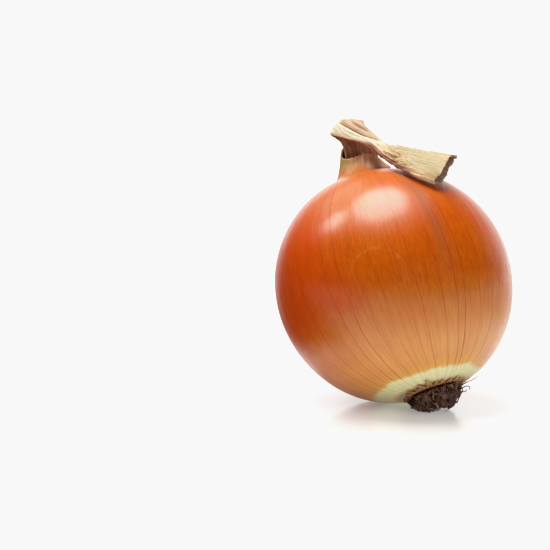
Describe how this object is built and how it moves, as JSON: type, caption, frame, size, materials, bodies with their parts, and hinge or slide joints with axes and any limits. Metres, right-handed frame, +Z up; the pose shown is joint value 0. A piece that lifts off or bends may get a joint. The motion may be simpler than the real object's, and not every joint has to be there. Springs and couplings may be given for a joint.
{
  "type": "onion",
  "caption": "Round onion in its dry skin that lies leaning on its base, with a folded-over dried neck and a tuft of dead roots.",
  "frame": {"origin": "the middle of the flat spot that the bulb rests on", "axes": "+Z up, away from the surface that the onion lies on; -Y towards the side with the roots and the end of the dried neck; +X to the right as seen from -Y"},
  "size_m": [0.0803, 0.0799, 0.0946],
  "materials": {
    "onion_skin": "glossy copper-orange dry onion skin with fine reddish veins, pale round the roots",
    "dry_neck": "matt, fibrous straw-coloured dried leaf, brown inside the fold",
    "torn_skin": "matt light-brown torn papery skin",
    "dead_root": "matt dark-brown dead roots"
  },
  "bodies": {
    "root": {"bulb": "onion_skin", "dried_neck": "dry_neck", "skin_fringe": "torn_skin", "root_tuft": "dead_root"}
  },
  "joints": []
}
